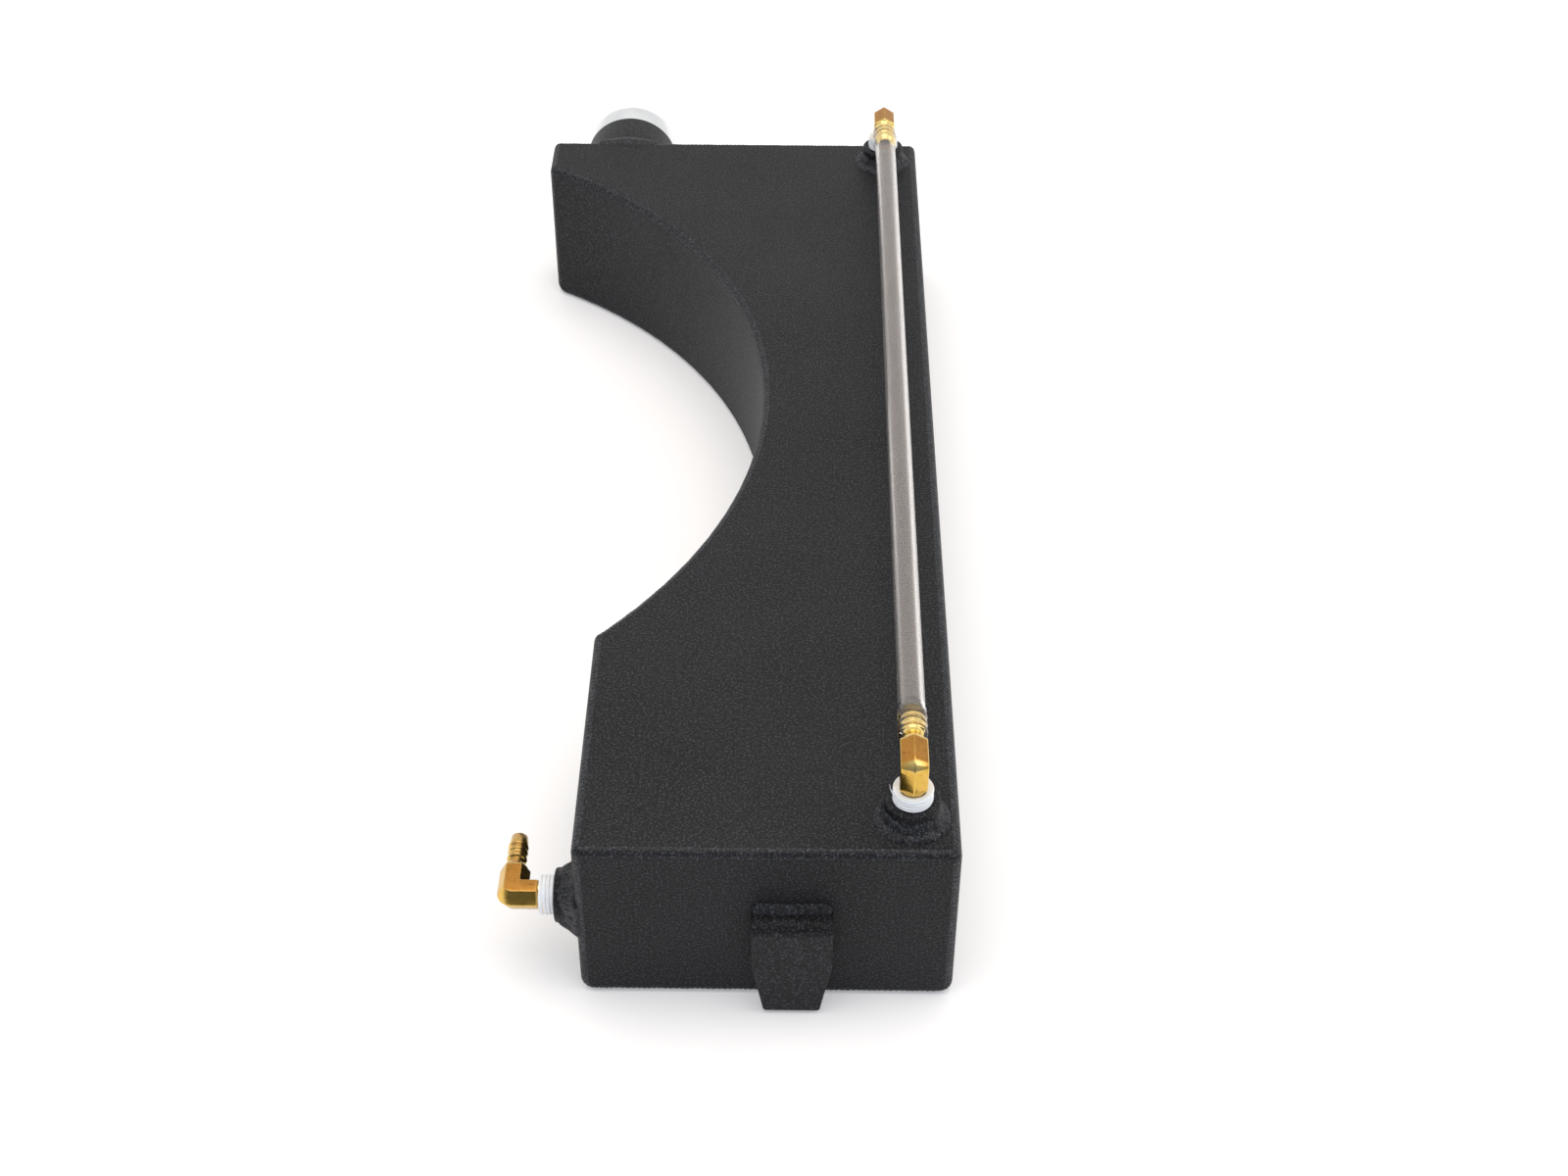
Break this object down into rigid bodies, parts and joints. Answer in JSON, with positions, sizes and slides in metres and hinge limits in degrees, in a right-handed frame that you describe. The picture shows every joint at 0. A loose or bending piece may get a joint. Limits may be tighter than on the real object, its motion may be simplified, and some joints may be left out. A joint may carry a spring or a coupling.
{
  "type": "coolant expansion tank",
  "caption": "Long flat welded tank with a circular cut-out in one side, a screw filler cap, a clear sight gauge and a barbed hose outlet.",
  "frame": {"origin": "on the back face, in the middle of the waist, level with the centre of the cut-out", "axes": "+X towards the straight long side, +Y along the tank towards the filler end, +Z out of the front face, which carries the gauge"},
  "size_m": [0.1786, 0.5229, 0.1007],
  "materials": {
    "powder_coat": "satin black fine-textured powder coat over welded aluminium sheet",
    "coated_weld": "satin black powder coat over a rippled weld bead",
    "bare_aluminium": "turned and polished, not coated",
    "brass": "forged, lightly tarnished, with polished edges",
    "thread_tape": "matt white wound tape",
    "clear_tube": "clear, slightly milky flexible hose",
    "seal_rubber": "matt black moulded rubber"
  },
  "bodies": {
    "tank": {"back_pan": "powder_coat", "front_plate": "powder_coat", "lower_end_plate": "powder_coat", "upper_end_plate": "powder_coat", "curved_wall": "powder_coat", "front_seam_weld": "coated_weld", "lower_end_weld": "coated_weld", "upper_end_weld": "coated_weld", "cutout_weld": "coated_weld", "mounting_tab": "powder_coat", "tab_weld": "coated_weld", "filler_neck": "powder_coat", "neck_weld": "coated_weld", "outlet_bung": "powder_coat", "outlet_weld": "coated_weld", "outlet_elbow": "brass", "outlet_tape": "thread_tape", "gauge_bung_lower": "powder_coat", "gauge_weld_lower": "coated_weld", "gauge_elbow_lower": "brass", "gauge_tape_lower": "thread_tape", "gauge_bung_upper": "powder_coat", "gauge_weld_upper": "coated_weld", "gauge_elbow_upper": "brass", "gauge_tape_upper": "thread_tape", "sight_tube": "clear_tube"},
    "seal": {"cap_seal": "seal_rubber"},
    "cap": {"filler_cap": "bare_aluminium"}
  },
  "joints": [
    {"name": "cap_lift", "type": "slide", "parent": "tank", "child": "seal", "axis": [0, 1, 0], "range_m": [0, 0.0106]},
    {"name": "cap_turn", "type": "hinge", "parent": "seal", "child": "cap", "pos_m": [-0.10645, 0.24231, 0.0503], "axis": [0, 1, 0], "range_deg": [0, 1800]}
  ],
  "couplings": [
    {"joint": "cap_lift", "follows": "cap_turn", "m_per_rad": 0.000337}
  ]
}
